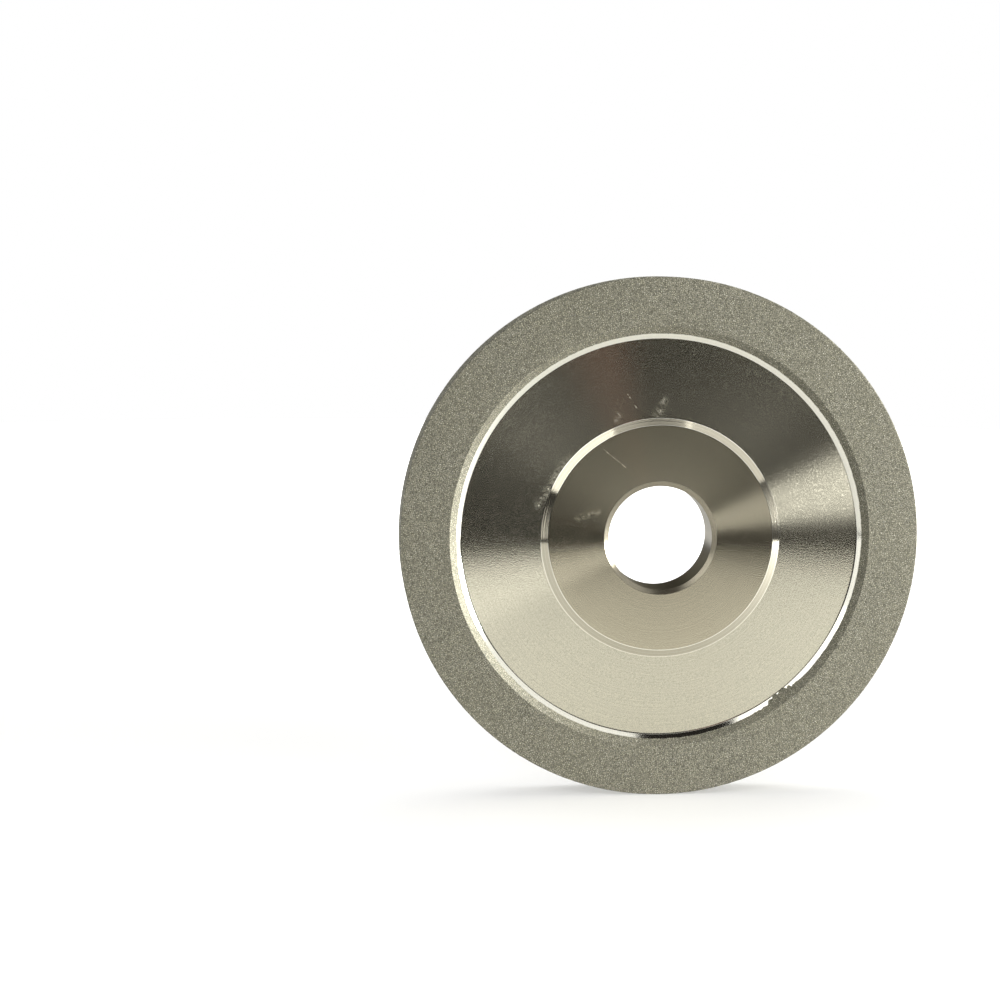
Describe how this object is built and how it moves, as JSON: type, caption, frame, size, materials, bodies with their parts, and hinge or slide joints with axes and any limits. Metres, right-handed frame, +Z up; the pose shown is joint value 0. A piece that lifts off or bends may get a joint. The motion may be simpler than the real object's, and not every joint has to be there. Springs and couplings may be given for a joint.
{
  "type": "diamond grinding wheel",
  "caption": "Flat grinding wheel: a turned steel core with a raised hub and a plain bore, and diamond grit plated on the face, rim and back of its edge.",
  "frame": {"origin": "centre of the wheel, on the bore's axis halfway between its two faces", "axes": "+Y along the bore, the axis the wheel turns about; the front face looks along -Y; +Z up with the wheel standing on its rim"},
  "size_m": [0.1, 0.01, 0.1],
  "materials": {
    "turned_steel": "lathe-turned and bright nickel flashed, fine concentric tool marks, light handling scratches",
    "diamond_grit": "one layer of diamond grains in a nickel bond, an even olive-grey sandpaper with fine sparkle"
  },
  "bodies": {
    "root": {"steel_core": "turned_steel", "front_grit_ring": "diamond_grit", "rear_grit_ring": "diamond_grit", "rim_grit_band": "diamond_grit"}
  },
  "joints": []
}
